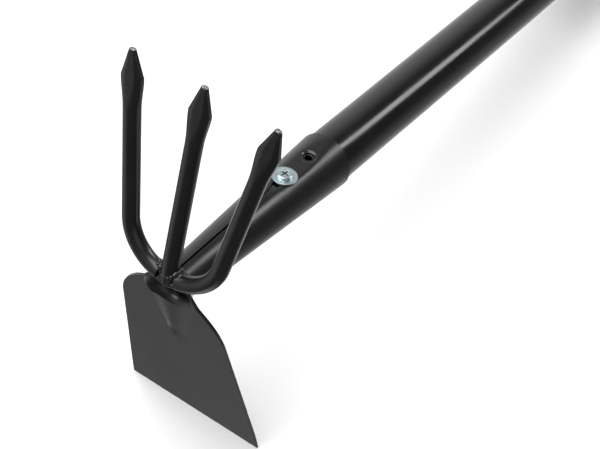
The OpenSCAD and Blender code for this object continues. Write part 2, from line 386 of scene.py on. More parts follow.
@dataclass(frozen=True)
class Moulding:
    """Moulded rubber or plastic: a matt black with the fine spark-eroded grain of its mould."""

    name: str
    colour: str
    dusty: str
    roughness: float
    grain_mm: float
    grain_depth_mm: float
    spread: float = 0.1
    bloom_mm: float = 16.0

    def material(self) -> bpy.types.Material:
        """Makes the rubber or plastic.

        Returns:
            The moulding's material.
        """
        made, tree = new_material(self.name)
        place = shader_node(tree, "ShaderNodeTexCoord").outputs["Object"]
        # Dusty bloom that handling leaves, a couple of centimetres across
        bloom = shader_node(
            tree, "ShaderNodeTexNoise", {"Vector": place, "Scale": per_metre(self.bloom_mm), "Detail": 4.0}
        )
        tone = shader_node(
            tree,
            "ShaderNodeMix",
            {0: bloom.outputs["Fac"], 6: linear(self.colour), 7: linear(self.dusty)},
            data_type="RGBA",
        )
        gloss = shader_node(
            tree,
            "ShaderNodeMapRange",
            {
                "Value": bloom.outputs["Fac"],
                "To Min": self.roughness - self.spread,
                "To Max": self.roughness + self.spread,
            },
        )
        grain = shader_node(
            tree,
            "ShaderNodeTexVoronoi",
            {"Vector": place, "Scale": per_metre(self.grain_mm), "Smoothness": 0.6},
            feature="SMOOTH_F1",
        )
        skin = shader_node(
            tree,
            "ShaderNodeBump",
            {"Height": grain.outputs["Distance"], "Strength": 1.0, "Distance": self.grain_depth_mm * MM},
        )
        surface = shader_node(
            tree,
            "ShaderNodeBsdfPrincipled",
            {
                "Base Color": tone.outputs[2],
                "Roughness": gloss.outputs["Result"],
                "IOR": 1.48,
                "Normal": skin.outputs["Normal"],
            },
        )
        shader_node(tree, "ShaderNodeOutputMaterial", {"Surface": surface.outputs["BSDF"]})
        return made


@dataclass(frozen=True)
class Finishes:
    """The finish of each slot."""

    blade: Paint = Paint(
        name="satin_black_paint_on_sheet",
        colour="101112",
        worn="161718",
        roughness=0.28,
        spread=0.04,
        peel_mm=1.6,
        peel_depth_mm=0.006,
        grit_depth_mm=0.002,
    )
    rod: Paint = Paint(
        name="semi_gloss_black_paint_on_rod",
        colour="0F0F10",
        worn="151516",
        roughness=0.27,
        spread=0.04,
        peel_mm=1.4,
        peel_depth_mm=0.006,
        grit_depth_mm=0.002,
        bare=True,
    )
    tube: Paint = Paint(
        name="gloss_black_paint_on_tube",
        colour="0B0B0C",
        worn="101011",
        roughness=0.17,
        spread=0.03,
        peel_mm=1.8,
        peel_depth_mm=0.004,
        grit_depth_mm=0.0012,
    )
    zinc: Zinc = Zinc()
    grip: Moulding = Moulding(
        name="moulded_black_rubber",
        colour="0E0E0E",
        dusty="181818",
        roughness=0.62,
        grain_mm=0.7,
        grain_depth_mm=0.03,
    )
    cap: Moulding = Moulding(
        name="moulded_black_polypropylene",
        colour="131314",
        dusty="1B1B1C",
        roughness=0.46,
        grain_mm=0.5,
        grain_depth_mm=0.015,
    )


@dataclass(frozen=True)
class Layout:
    """Sizes that several pieces share, in millimetres and degrees, on the tool's own axes.

    X runs along the handle from the neck to the grip, Z is up on the tines' side, and the front of
    the blade crosses the handle's axis at the origin.
    """

    tube_d: float = 25.0
    tube_wall: float = 1.2
    tube_reach: float = 329.0
    tube_entry: float = 52.0
    grip_wall: float = 2.8
    grip_bead: float = 1.2
    cap_reach: float = 18.25
    socket_len: float = 114.0
    socket_wall: float = 1.0
    neck_d: float = 15.7
    fit: float = 0.05
    screw_inset: float = 33.6
    hole_pitch: float = 18.2
    press_len: float = 44.0
    press_depth: float = 1.0
    spare_d: float = 5.2
    blade_h: float = 106.0
    blade_lean: float = 20.0
    rod_d: float = 7.5
    tine_x: float = 0.0
    tine_lean: float = 4.5
    mouth_top: float = 4.5
    weld_gap: float = 0.1

    @property
    def tube_end(self) -> float:
        """Place of the handle's far end."""
        return self.socket_len + self.tube_reach

    @property
    def grip_r(self) -> float:
        """Outside radius of the grip between its beads."""
        return self.tube_d / 2 + self.fit + self.grip_wall

    @property
    def foot_v(self) -> float:
        """Height of the centre tine's lower end on the tines, just under the middle of the outer rods."""
        return self.mouth_top + self.weld_gap + self.rod_d / 3

    @property
    def slope(self) -> float:
        """How much the socket's radius grows for each millimetre from the neck."""
        return (self.tube_d / 2 + self.fit + self.socket_wall - self.neck_d / 2) / self.socket_len

    def bore_r(self, x: float) -> float:
        """Inside radius of the socket at x."""
        return self.neck_d / 2 - self.socket_wall + self.slope * x

    @property
    def press_r(self) -> float:
        """Radius of the long arc that the flat round the screw is pressed to."""
        return self.press_len**2 / (8 * self.press_depth) + self.press_depth / 2

    @property
    def press_centre(self) -> Vector:
        """Centre of that arc.

        Returns:
            The point, on the tool's axes.
        """
        lean = math.atan(self.slope)
        x = self.socket_len - self.screw_inset + self.hole_pitch / 2
        rise = self.press_r - self.press_depth
        top = self.neck_d / 2 + self.slope * x
        return Vector((x - rise * math.sin(lean), 0, top + rise * math.cos(lean)))

    def flat_z(self, x: float) -> float:
        """Height of the pressed flat's outer face at x."""
        centre = self.press_centre
        return centre.z - math.sqrt(self.press_r**2 - (x - centre.x) ** 2)

    def seat_x(self, towards_neck: float) -> float:
        """Place along the handle of a hole in the flat, by its distance from the flat's middle."""
        angle = math.atan(self.slope) - towards_neck / self.press_r
        return self.press_centre.x + self.press_r * math.sin(angle)

    def pressed(self, point: Vector, depth: float, soft: float = 0.25) -> Vector:
        """Lowers a point that stands above the pressed flat.

        Args:
            point: Point on the tool's axes.
            depth: How far under the flat's outer face the point's layer lies.
            soft: How gently the flat runs out into the round.

        Returns:
            The point, on the flat where that is lower.
        """
        if point.z < 0:
            return point
        over = point.z - (self.flat_z(point.x) - depth)
        sunk = (over + math.sqrt(over**2 + soft**2)) / 2
        return Vector((point.x, point.y, point.z - sunk))

    def tool(self) -> Matrix:
        """Lays the tool down on the blade's edge and the grip.

        Returns:
            From the tool's axes in millimetres to the frame in metres.
        """
        lean = math.radians(self.blade_lean)
        edge_x, edge_drop = self.blade_h * math.sin(lean), self.blade_h * math.cos(lean)
        rest = math.atan2(edge_drop - self.grip_r - self.grip_bead, self.tube_end - edge_x)
        height = self.blade_h * math.cos(lean - rest)
        turn = Matrix.Rotation(rest, 4, "Y")
        front = (turn @ self.tines() @ Vector((0, self.foot_v, -self.rod_d / 2))).x
        far = (self.tube_end + self.cap_reach) * math.cos(rest)
        lift = Matrix.Translation(Vector((-(front + far) / 2, 0, height)) * MM)
        return lift @ turn @ Matrix.Scale(MM, 4)

    def blade(self) -> Matrix:
        """From the blade's axes to the tool's: X is square to the blade, backwards, and Z runs up it."""
        return Matrix.Rotation(-math.radians(self.blade_lean), 4, "Y")

    def tines(self) -> Matrix:
        """Stands the tines on the neck; their X is lateral, Y runs up them and Z is backwards.

        Returns:
            From the tines' axes to the tool's.
        """
        turn = Matrix.Rotation(math.pi / 2, 4, "Z") @ Matrix.Rotation(math.pi / 2, 4, "X")
        lean = Matrix.Rotation(math.radians(self.tine_lean), 4, "Y")
        return Matrix.Translation((self.tine_x, 0, 0)) @ lean @ turn


def along_handle() -> Matrix:
    """Turns a shape made round Z so that it lies round the handle's axis."""
    return Matrix.Rotation(math.pi / 2, 4, "Y")


def make_piece(
    bm: bmesh.types.BMesh,
    name: str,
    place: Matrix,
    material: bpy.types.Material,
    body: Body = Body.TOOL,
    crease: float = 40.0,
) -> bpy.types.Object:
    """Turns a mesh into a piece that stands for the CAD node of its name.

    Args:
        bm: The mesh, which is used up.
        name: Name of the piece and of its CAD node.
        place: From the mesh's axes to the frame.
        material: Finish of the piece.
        body: Body that it rides on.
        crease: Angle in degrees past which an edge is shaded sharp.

    Returns:
        The new object, at the origin.
    """
    bmesh.ops.transform(bm, matrix=place, verts=bm.verts)
    mesh = bpy.data.meshes.new(name)
    bm.to_mesh(mesh)
    bm.free()
    mesh.shade_smooth()
    mesh.set_sharp_from_angle(angle=math.radians(crease))
    mesh.materials.append(material)
    piece = bpy.data.objects.new(name + "_look", mesh)
    bpy.context.scene.collection.objects.link(piece)
    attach(piece, body.value)
    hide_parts(name)
    LOG.info("%s: %d faces on %s", piece.name, len(mesh.polygons), body.value)
    return piece


def round_edges(piece: bpy.types.Object, width_mm: float, angle: float, segments: int = 2) -> None:
    """Rounds a piece's edges.

    Args:
        piece: The piece.
        width_mm: Width of the rounding.
        angle: Angle in degrees past which an edge is rounded.
        segments: Faces across the rounding.
    """
    rounding = piece.modifiers.new("rounding", "BEVEL")
    rounding.width = width_mm * MM
    rounding.segments = segments
    rounding.limit_method = "ANGLE"
    rounding.angle_limit = math.radians(angle)
    rounding.profile = 0.5
    rounding.use_clamp_overlap = False
    rounding.harden_normals = True


def turned(bm: bmesh.types.BMesh, profile: list[tuple[float, float]], steps: int, closed: bool) -> None:
    """Turns a profile about Z.

    Args:
        bm: Mesh that the shape joins.
        profile: Places of the profile as radius and height.
        steps: Faces round the axis.
        closed: Whether the profile's last place joins its first.
    """
    verts = [bm.verts.new((r, 0, z)) for r, z in profile]
    pairs = list(zip(verts, verts[1:])) + ([(verts[-1], verts[0])] if closed else [])
    edges = [bm.edges.new(pair) for pair in pairs]
    bmesh.ops.spin(
        bm,
        geom=verts + edges,
        cent=(0, 0, 0),
        axis=(0, 0, 1),
        angle=2 * math.pi,
        steps=steps,
        use_merge=True,
    )
    bmesh.ops.remove_doubles(bm, verts=bm.verts, dist=0.001)
    bmesh.ops.recalc_face_normals(bm, faces=bm.faces)


@dataclass(frozen=True)
class HoeHead:
    """Blade and socket of one steel sheet, opened out and turned over a lip at the neck."""

    layout: Layout
    edge_w: float = 70.2
    shoulder_w: float = 53.2
    shoulder_drop: float = 23.0
    shoulder_r: float = 34.0
    sheet_t: float = 1.4
    dart_len: float = 48.0
    dart_depth: float = 2.7
    dart_run: float = 1.6
    dart_w: float = 10.35
    dart_off: float = 2.0
    dart_end: float = 29.0
    dart_tail: float = 1.7
    crisp_side: float = 0.15
    soft_side: float = 0.9
    step_h: float = 0.25
    step_w: float = 1.2
    lip_low: float = 4.0
    lip_side: float = 5.2
    lip_from: float = 30.0
    lip_to: float = 80.0
    lip_round: float = 0.4
    bevel_h: float = 8.0
    edge_t: float = 0.8
    seam_w: float = 0.8
    flare_rise: float = 3.5
    flare_start: float = 11.0
    flare_end: float = 6.0
    screw_hole_d: float = 5.0
    dimple_d: float = 7.4
    dimple_t: float = 0.4
    neck_x: float = 12.0
    open_x: float = 8.5
    search_x: float = 12.0
    search_steps: int = 24
    rays: int = 100
    wall_rings: int = 8
    dimple_rings: int = 4
    hole_rings: int = 14
    seam_rings: int = 30
    neck_rings: int = 14
    lip_rings: int = 14
    face_rings: int = 84
    ring_bias: float = 1.25
    edge_share: float = 0.34
    side_share: float = 0.5
    edge_fan: float = 24.0
    side_fan: float = 62.0
    gauge_share: float = 0.12
    merge_mm: float = 0.06

    @property
    def shoulder_centre(self) -> tuple[float, float, float]:
        """Lateral place and height of the shoulder arc's centre, and the lean of the blade's side."""
        lean = math.atan((self.edge_w - self.shoulder_w) / 2 / (self.layout.blade_h - self.shoulder_drop))
        return (
            self.shoulder_w / 2 - self.shoulder_r * math.cos(lean),
            -self.shoulder_drop - self.shoulder_r * math.sin(lean),
            lean,
        )

    def outline(self, u: float) -> tuple[float, float]:
        """Follows the blade's outline from the middle of its edge to the top of a shoulder.

        Args:
            u: Share of the way, from -1 to 1; its sign is the side.

        Returns:
            Lateral place and height on the blade.
        """
        side, share = math.copysign(1, u), abs(u)
        if share <= self.edge_share:
            return side * self.edge_w / 2 * share / self.edge_share, -self.layout.blade_h
        if share <= self.side_share:
            t = (share - self.edge_share) / (self.side_share - self.edge_share)
            return (
                side * blend(self.edge_w, self.shoulder_w, t) / 2,
                -blend(self.layout.blade_h, self.shoulder_drop, t),
            )
        y, z, lean = self.shoulder_centre
        top = math.asin((self.layout.mouth_top - z) / self.shoulder_r)
        angle = blend(lean, top, (share - self.side_share) / (1 - self.side_share))
        return side * (y + self.shoulder_r * math.cos(angle)), z + self.shoulder_r * math.sin(angle)

    def dart(self, y: float, z: float) -> float:
        """Depth of the pressed dart at a place on the blade.

        Args:
            y: Lateral place.
            z: Height on the blade.

        Returns:
            Depth behind the blade's flat front.
        """
        share = min(1.0, 1 + max(z, -self.dart_end) / self.dart_len)
        half, depth = (self.dart_w + self.dart_off) * share, self.dart_depth * share**self.dart_run
        radius = (half**2 + depth**2) / (2 * depth)
        # Below its straight part the dent ends in a long half-round
        at = math.hypot(y + self.dart_off * share, max(0.0, -self.dart_end - z) / self.dart_tail)
        if at > half:
            hollow = -half / (radius - depth) * (at - half)
        else:
            hollow = math.sqrt(radius**2 - at**2) - radius + depth
        # The press left one edge crisp, with a step, and the other soft
        crisp = ease(y, -half, half)
        soft = (hollow + math.hypot(hollow, share * blend(self.soft_side, self.crisp_side, crisp))) / 2
        return soft + self.step_h * crisp * ease(half - at, -self.step_w / 4, self.step_w)

    def ray_angle(self, u: float, end: float) -> float:
        """Angle of a ray round the handle's axis, from straight down.

        Args:
            u: Which ray, from -1 to 1.
            end: Angle of the outermost ray.

        Returns:
            The angle in radians.
        """
        half_turn, hinge = 180.0, self.side_fan
        fan = [(0.0, 0.0), (self.edge_share, self.edge_fan), (self.side_share, hinge), (1.0, half_turn)]
        angle = knots(abs(u), fan)
        if angle > hinge:
            angle = hinge + (angle - hinge) * (math.degrees(end) - hinge) / (half_turn - hinge)
        return math.copysign(math.radians(angle), u)

    def half_gap(self, x: float) -> float:
        """Opening along the top of the socket: the seam, the screw's hole and the spare hole.

        Args:
            x: Place along the handle.

        Returns:
            Half of the opening's width there.
        """
        half = self.layout.hole_pitch / 2
        screw_x, spare_x = self.layout.seat_x(half), self.layout.seat_x(-half)
        flared = ease(x, screw_x - self.flare_start, screw_x - self.flare_end)
        seam = self.seam_w / 2 * (1 + self.flare_rise * flared) if x <= screw_x else 0.0
        for centre, radius in ((screw_x, self.screw_hole_d / 2), (spare_x, self.layout.spare_d / 2)):
            if abs(x - centre) < radius:
                return max(seam, math.sqrt(radius**2 - (x - centre) ** 2))
        return seam

    def cone(self, x: float, angle: float) -> Vector:
        """Follows the inside of the socket, with the flat pressed in.

        Args:
            x: Place along the handle.
            angle: Angle round the handle's axis, from straight down.

        Returns:
            The point, on the tool's axes.
        """
        r = self.layout.bore_r(x)
        point = Vector((x, r * math.sin(angle), -r * math.cos(angle)))
        return self.layout.pressed(point, self.layout.socket_wall)

    @property
    def top_angle(self) -> float:
        """Angle of the outermost ray where the neck is open."""
        return math.pi - math.acos(self.layout.mouth_top / self.layout.bore_r(0))

    def seam_angle(self, x: float) -> float:
        """Angle at which the socket's sheet ends at x."""
        return math.pi - math.asin(self.half_gap(x) / self.layout.bore_r(x))

    def corner(self, angle: float) -> Vector:
        """Where the inside of the socket meets the blade's front, on the tool's axes.

        Args:
            angle: Angle round the handle's axis.

        Returns:
            The point, before the lip takes the corner off.
        """
        to_blade = self.layout.blade().inverted()
        # Halves the stretch that holds the corner until it is found
        near, far = -self.search_x, self.search_x
        for _ in range(self.search_steps):
            x = (near + far) / 2
            r = self.layout.bore_r(x)
            on_blade = to_blade @ Vector((x, r * math.sin(angle), -r * math.cos(angle)))
            if on_blade.x > self.dart(on_blade.y, on_blade.z):
                far = x
            else:
                near = x
        r = self.layout.bore_r(near)
        return Vector((near, r * math.sin(angle), -r * math.cos(angle)))

    def lip(self, angle: float) -> float:
        """How far the lip reaches from its corner, along the socket and along the blade."""
        return blend(self.lip_low, self.lip_side, ease(abs(math.degrees(angle)), self.lip_from, self.lip_to))

    def face(self, u: float, t: float) -> Vector:
        """Point on the lip and the blade's front, on the tool's axes.

        Args:
            u: Which ray.
            t: Share of the way from the socket to the outline.

        Returns:
            The point.
        """
        to_tool = self.layout.blade()
        angle = self.ray_angle(u, self.top_angle)
        corner = self.corner(angle)
        start = to_tool.inverted() @ corner
        end_y, end_z = self.outline(u)
        reach = math.hypot(end_y - start.y, end_z - start.z)
        leg = self.lip(angle)
        turn = min(leg, reach)

        def front(distance: float) -> Vector:
            """Follows a ray over the blade's front.

            Args:
                distance: How far from the corner.

            Returns:
                The point, on the tool's axes.
            """
            share = distance / reach
            y, z = blend(start.y, end_y, share), blend(start.z, end_z, share)
            return to_tool @ Vector((self.dart(y, z), y, z))

        knee = self.lip_rings / self.face_rings
        if t >= knee:
            return front(blend(turn, reach, ((t - knee) / (1 - knee)) ** self.ring_bias))
        # The lip is a slack curve that meets the blade in a crease
        share = t / knee
        back, crease = self.cone(corner.x + leg, angle), front(turn)
        arc = back.lerp(corner, share).lerp(corner.lerp(crease, share), share)
        return back.lerp(crease, share).lerp(arc, self.lip_round)

    def rings(self) -> list[tuple[Zone, float]]:
        """Lists the rings from the socket's mouth to the blade's outline.

        Returns:
            Stretch of each ring and its place along that stretch.
        """
        half = self.layout.hole_pitch / 2
        screw_x, spare_x = self.layout.seat_x(half), self.layout.seat_x(-half)
        screw_r, spare_r, dimple_r = self.screw_hole_d / 2, self.layout.spare_d / 2, self.dimple_d / 2

        def across(centre: float, radius: float) -> list[float]:
            """Places across a hole, closest together at its ends."""
            return [centre + radius * math.cos(math.pi * i / self.hole_rings) for i in range(self.hole_rings)]

        places = even_places(self.layout.socket_len, spare_x + dimple_r, self.wall_rings)
        places += even_places(spare_x + dimple_r, spare_x + spare_r, self.dimple_rings)
        places += across(spare_x, spare_r)
        places += even_places(spare_x - spare_r, spare_x - dimple_r, self.dimple_rings)
        places += even_places(spare_x - dimple_r, screw_x + screw_r, self.wall_rings)
        places += across(screw_x, screw_r)
        places += even_places(screw_x - screw_r, self.neck_x, self.seam_rings)
        stations = [(Zone.SOCKET, x) for x in places]
        stations += [(Zone.NECK, share) for share in even_places(0, 1, self.neck_rings)]
        stations += [(Zone.FACE, i / self.face_rings) for i in range(self.face_rings + 1)]
        return stations

    def skin(self, u: float, zone: Zone, at: float) -> Vector:
        """Point on the side of the sheet that is the blade's front and the socket's inside.

        Args:
            u: Which ray, from -1 to 1.
            zone: Stretch of the sheet.
            at: Place along that stretch.

        Returns:
            The point on the tool's axes.
        """
        if zone is Zone.FACE:
            return self.face(u, at)
        if zone is Zone.SOCKET:
            return self.cone(at, self.ray_angle(u, self.seam_angle(at)))
        angle = self.ray_angle(u, self.top_angle)
        end_x = self.corner(angle).x + self.lip(angle)
        x = blend(self.neck_x, end_x, at)
        opened = blend(self.seam_angle(self.neck_x), self.top_angle, ease(x, self.open_x, end_x))
        return self.cone(x, self.ray_angle(u, opened))

    def thickness(self, point: Vector, zone: Zone, at: float) -> float:
        """Thickness of the sheet at a point on the tool's axes.

        Args:
            point: The point on the sheet's front.
            zone: Stretch of the sheet.
            at: Place along that stretch.

        Returns:
            The thickness in millimetres.
        """
        if zone is Zone.FACE:
            height = (self.layout.blade().inverted() @ point).z + self.layout.blade_h
            ground = blend(self.edge_t, self.sheet_t, min(1.0, height / self.bevel_h))
            return min(ground, blend(self.layout.socket_wall, self.sheet_t, ease(at, 0, self.gauge_share)))
        spare_x = self.layout.seat_x(-self.layout.hole_pitch / 2)
        from_spare = math.hypot(point.x - spare_x, point.y) if point.z > 0 else math.inf
        dimple = (from_spare - self.layout.spare_d / 2) / (self.dimple_d - self.layout.spare_d) * 2
        return blend(self.dimple_t, self.layout.socket_wall, ease(dimple, 0, 1))

    def build(self, finish: Paint) -> None:
        """Makes the hoe head and dresses it.

        Args:
            finish: Its paint.
        """
        stations = self.rings()
        bm = bmesh.new()
        bmesh.ops.create_grid(bm, x_segments=2 * self.rays, y_segments=len(stations) - 1, size=1)
        gauge = bm.verts.layers.deform.verify()
        last = len(stations) - 1
        for v in bm.verts:
            zone, at = stations[round((v.co.y + 1) / 2 * last)]
            point = self.skin(v.co.x, zone, at)
            v[gauge][0] = self.thickness(point, zone, at) / self.sheet_t
            v.co = point
        bmesh.ops.remove_doubles(bm, verts=bm.verts, dist=self.merge_mm)
        piece = make_piece(bm, "hoe_head", self.layout.tool(), finish.material())
        piece.vertex_groups.new(name="gauge")
        wall = piece.modifiers.new("sheet", "SOLIDIFY")
        wall.thickness = self.sheet_t * MM
        wall.offset = -1
        wall.vertex_group = "gauge"
        round_edges(piece, width_mm=0.16, angle=55)


@dataclass(frozen=True)
class Claw:
    """Three tines of round rod with forged spearheads, and the weld that holds them on the neck."""

    layout: Layout
    centre_h: float = 102.0
    outer_h: float = 101.0
    tip_spread: float = 69.0
    tine_fan: float = 9.0
    bend_r: float = 22.0
    spear_len: float = 27.0
    point_len: float = 12.0
    spear_w: float = 10.0
    spear_t: float = 4.4
    point_w: float = 2.8
    tip_wear: float = 0.5
    wear_len: float = 0.9
    lump_size: float = 0.86
    lump_vary: float = 0.14
    lump_sway: float = 0.2
    weld_voxel: float = 0.22
    sides: int = 48
    rod_rings: int = 6
    spear_rings: int = 12
    point_rings: int = 6
    bend_steps: int = 20

    @property
    def root(self) -> Vector:
        """Middle of an outer rod's lower end, on the tines' axes."""
        gap = self.layout.rod_d / 2 + self.layout.weld_gap
        return Vector((gap, self.layout.mouth_top + gap, 0))

    def bend(self) -> tuple[float, Vector, float]:
        """Works out the bend that joins an outer tine's foot to its straight leg.

        Returns:
            Length of the leg, centre of the bend and the angle where the bend starts.
        """
        fan = math.radians(self.tine_fan)
        along, inward = Vector((math.sin(fan), math.cos(fan), 0)), Vector((-math.cos(fan), math.sin(fan), 0))
        tip = Vector((self.tip_spread / 2, self.outer_h, 0))
        to_turn = tip + self.bend_r * inward - self.root
        run = to_turn.dot(along)
        leg = run - math.sqrt(run**2 - to_turn.length_squared + self.bend_r**2)
        turn = tip - leg * along + self.bend_r * inward
        start = -math.acos((self.root.x - turn.x) / (self.bend_r - self.layout.rod_d / 2))
        return leg, turn, start

    def section(self, angle: float, from_tip: float) -> Vector:
        """Outline of the rod or its forged spearhead, across the tine.

        Args:
            angle: Angle round the rod.
            from_tip: Distance below the tip.

        Returns:
            Place across the tine, with Y square to the flat.
        """
        rod_r = self.layout.rod_d / 2
        round_rod = Vector((rod_r * math.cos(angle), rod_r * math.sin(angle), 0))
        forged = 1 - ease(from_tip, self.point_len, self.spear_len)
        if forged == 0:
            return round_rod
        if from_tip < self.point_len:
            share = from_tip / self.point_len
            w, t = blend(self.point_w, self.spear_w, share), blend(self.spear_t / 2, self.spear_t, share)
        else:
            w, t = self.spear_w, self.spear_t
        corners = [(w / 2, t / 4), (w / 4, t / 2), (-w / 4, t / 2), (-w / 2, t / 4)]
        corners += [(-x, -y) for x, y in corners]
        place = (angle / (2 * math.pi) * len(corners) + len(corners) - 0.5) % len(corners)
        i, share = int(place), place % 1
        a, b = corners[i], corners[(i + 1) % len(corners)]
        flat = Vector((blend(a[0], b[0], share), blend(a[1], b[1], share), 0))
        return round_rod.lerp(flat, forged)

    def stations(self, length: float) -> list[float]:
        """Lists the rings of a leg from its foot up.

        Args:
            length: Length of the leg.

        Returns:
            Distance of each ring from the tip.
        """
        places = even_places(length, self.spear_len, self.rod_rings)
        places += even_places(self.spear_len, self.point_len, self.spear_rings)
        return places + even_places(self.point_len, 0, self.point_rings) + [0.0]

    def leg(self, bm: bmesh.types.BMesh, length: float) -> list[bmesh.types.BMEdge]:
        """Grows a straight leg with its spearhead along Z.

        Args:
            bm: Mesh that it joins.
            length: Length of the leg.

        Returns:
            The edges of its foot.
        """
        bare = bm.verts.layers.float.new("bare")
        turn = bm.verts.layers.float.new("turn")
        ring = bmesh.ops.create_circle(bm, segments=self.sides, radius=self.layout.rod_d / 2)["verts"]
        for v in ring:
            v[turn] = math.atan2(v.co.y, v.co.x)
        foot = edges = list({e for v in ring for e in v.link_edges})
        for from_tip in self.stations(length)[1:]:
            grown = bmesh.ops.extrude_edge_only(bm, edges=edges)["geom"]
            edges = [g for g in grown if isinstance(g, bmesh.types.BMEdge) and len(g.link_faces) == 1]
            ring = [g for g in grown if isinstance(g, bmesh.types.BMVert)]
            for v in ring:
                v.co = self.section(v[turn], from_tip) + Vector((0, 0, length - from_tip))
                v[bare] = self.tip_wear * (1 - ease(from_tip, 0.0, self.wear_len))
        bmesh.ops.edgeloop_fill(bm, edges=edges)
        return foot

    def build_tine(self, name: str, side: int, finish: bpy.types.Material) -> None:
        """Makes one tine and dresses it.

        Args:
            name: Its CAD node.
            side: 1 or -1 for an outer tine's side, and 0 for the centre tine.
            finish: Its material.
        """
        bm = bmesh.new()
        if side == 0:
            foot_v = self.layout.foot_v
            foot = self.leg(bm, self.centre_h - foot_v)
            bmesh.ops.edgeloop_fill(bm, edges=foot)
            stand = Matrix.Translation((0, foot_v, 0)) @ Matrix.Rotation(-math.pi / 2, 4, "X")
            bmesh.ops.transform(bm, matrix=stand, verts=bm.verts)
        else:
            length, turn, start = self.bend()
            fan = math.radians(self.tine_fan)
            foot = self.leg(bm, length)
            at = turn + Matrix.Rotation(-fan, 3, "Z") @ Vector((self.bend_r, 0, 0))
            stand = Matrix.Rotation(-fan, 4, "Z") @ Matrix.Rotation(-math.pi / 2, 4, "X")
            bmesh.ops.transform(bm, matrix=Matrix.Translation(at) @ stand, verts=bm.verts)
            spun = bmesh.ops.spin(
                bm,
                geom=list({v for e in foot for v in e.verts}) + foot,
                cent=turn,
                axis=(0, 0, 1),
                angle=start + fan,
                steps=self.bend_steps,
            )
            ends = [g for g in spun["geom_last"] if isinstance(g, bmesh.types.BMEdge)]
            bmesh.ops.edgeloop_fill(bm, edges=ends)
            if side < 0:
                bmesh.ops.scale(bm, vec=(-1, 1, 1), verts=bm.verts)
        bmesh.ops.remove_doubles(bm, verts=bm.verts, dist=0.002)
        bmesh.ops.recalc_face_normals(bm, faces=bm.faces)
        piece = make_piece(bm, name, self.layout.tool() @ self.layout.tines(), finish, crease=24)
        round_edges(piece, width_mm=0.2, angle=24)

    def weld_runs(self) -> list[tuple[Vector, Vector, float, int]]:
        """Lists the runs of weld on one side of the neck.

        Returns:
            Start, end, size of the lumps and their count for each run.
        """
        r, low = self.layout.rod_d / 2, self.layout.mouth_top
        under, middle = Vector((self.root.x, low, 0)), Vector((0, self.root.y, 0))
        behind, above = self.root + Vector((0, 0, r)), self.root + Vector((0, r, 0))
        foot = Vector((0, self.layout.foot_v, -0.42 * r))
        return [
            (under + Vector((0, 1.2, 1.8)), under + Vector((5.0, 2.6, 1.8)), 1.0, 5),
            (behind - Vector((2.4, 1.1, 0)), behind + Vector((3.6, 0, -0.4)), 1.9, 5),
            (above - Vector((0.4, 0, 2.0)), above + Vector((0.4, 0.3, 2.4)), 1.5, 5),
            (above + Vector((1.6, -0.2, -1.2)), above + Vector((2.6, 0, 1.6)), 1.0, 4),
            (foot - Vector((0, 1.2, 0)), foot + Vector((5.2, -0.8, 0.5)), 1.7, 5),
            (middle + Vector((1.3, -0.3, -0.78 * r)), middle + Vector((2.6, 2.4, -0.72 * r)), 1.0, 3),
            (middle + Vector((0, 1.6, -0.9 * r)), middle + Vector((1.3, 1.5, -0.88 * r)), 0.7, 3),
        ]

    def build_weld(self, finish: bpy.types.Material) -> None:
        """Makes the weld beads: runs of overlapping lumps, melted into each other.

        Args:
            finish: Their material.
        """
        bm = bmesh.new()
        for side in (1, -1):
            for start, end, size, count in self.weld_runs():
                for i in range(count):
                    at = start.lerp(end, i / (count - 1))
                    # The runs waver, and not alike on the two sides
                    wobble = math.cos(2.4 * i + 1.7 * side + at.z)
                    place = Vector((side * at.x, at.y + self.lump_sway * wobble, at.z))
                    radius = size * (self.lump_size + self.lump_vary * wobble)
                    lump = Matrix.Translation(place) @ Matrix.Scale(radius, 4)
                    bmesh.ops.create_icosphere(bm, subdivisions=3, radius=1, matrix=lump)
        piece = make_piece(bm, "weld_beads", self.layout.tool() @ self.layout.tines(), finish)
        melt = piece.modifiers.new("melt", "REMESH")
        melt.mode = "VOXEL"
        melt.voxel_size = self.weld_voxel * MM
        melt.use_smooth_shade = True
        flow = piece.modifiers.new("flow", "SMOOTH")
        flow.factor = 0.5
        flow.iterations = 6

    def build(self, finish: Paint) -> None:
        """Makes the tines and their weld.

        Args:
            finish: Their paint.
        """
        material = finish.material()
        for name, side in (("centre_tine", 0), ("left_tine", 1), ("right_tine", -1)):
            self.build_tine(name, side, material)
        self.build_weld(material)


